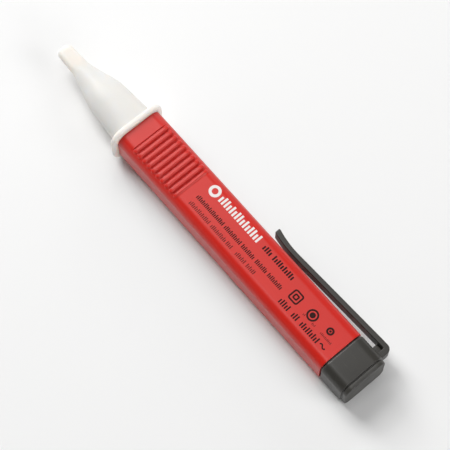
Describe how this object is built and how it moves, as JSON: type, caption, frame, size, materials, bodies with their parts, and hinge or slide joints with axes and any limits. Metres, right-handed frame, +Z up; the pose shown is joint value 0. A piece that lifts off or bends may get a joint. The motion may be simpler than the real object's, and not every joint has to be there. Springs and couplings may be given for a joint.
{
  "type": "non-contact voltage tester",
  "caption": "Pen-type voltage tester: white flat-bladed tip with a flange, ribbed red rectangular sleeve, dark stepped cap with a side pocket clip.",
  "frame": {"origin": "on the sleeve's flat underside, under its long axis, half way along the whole tester", "axes": "+X along the tester towards the cap, +Y towards the pocket clip, +Z up out of the ribbed face"},
  "size_m": [0.15, 0.0235, 0.0179],
  "materials": {
    "white_plastic": "fine satin moulded plastic, slightly translucent at the blade",
    "red_plastic": "satin moulded plastic with a fine spark-eroded grain",
    "dark_plastic": "matt moulded plastic with a fine grain",
    "frame_plastic": "plain moulded plastic",
    "board_laminate": "green solder mask over glass laminate",
    "contact_brass": "plated spring brass",
    "lamp_red": "clear tinted resin",
    "plated_steel": "bright nickel plate",
    "spring_steel": "nickel-plated spring wire",
    "sounder_black": "black moulded case",
    "chip_black": "black moulded resin",
    "capacitor_tan": "fired ceramic with tinned ends",
    "cradle_rubber": "soft moulded rubber",
    "weight_metal": "sintered heavy metal",
    "cell_jacket": "printed film over a metal can"
  },
  "bodies": {
    "tester": {"probe_tip": "white_plastic", "body_sleeve": "red_plastic", "inner_frame": "frame_plastic", "circuit_board": "board_laminate", "sensing_strip": "contact_brass", "indicator_light": "lamp_red", "light_leads": "plated_steel", "sounder": "sounder_black", "controller_chip": "chip_black", "amplifier_chip": "chip_black", "chip_resistors": "chip_black", "chip_capacitors": "capacitor_tan", "motor_can": "plated_steel", "motor_cradle": "cradle_rubber", "motor_pins": "contact_brass", "front_contact": "contact_brass", "return_strip": "contact_brass"},
    "cap": {"end_cap": "dark_plastic", "contact_spring": "spring_steel", "spring_plate": "contact_brass"},
    "clip": {"pocket_clip": "dark_plastic"},
    "cells": {"front_cell": "cell_jacket", "front_cell_button": "plated_steel", "rear_cell": "cell_jacket", "rear_cell_button": "plated_steel"},
    "rotor": {"motor_shaft": "plated_steel", "motor_weight": "weight_metal"}
  },
  "joints": [
    {"name": "cap_pull", "type": "slide", "parent": "tester", "child": "cap", "axis": [1, 0, 0], "range_m": [0, 0.06]},
    {"name": "cells_slide", "type": "slide", "parent": "tester", "child": "cells", "axis": [1, 0, 0], "range_m": [0, 0.03]},
    {"name": "clip_flex", "type": "hinge", "parent": "cap", "child": "clip", "pos_m": [0.0696, 0.01228, 0.0072], "axis": [0, 0, -1], "range_deg": [0, 5], "stiffness_Nm_per_rad": 1},
    {"name": "rotor_spin", "type": "hinge", "parent": "tester", "child": "rotor", "pos_m": [-0.0265, 0, 0.00485], "axis": [1, 0, 0], "continuous": true}
  ],
  "couplings": [
    {"joint": "cells_slide", "follows": "cap_pull", "ratio": 0.5}
  ]
}
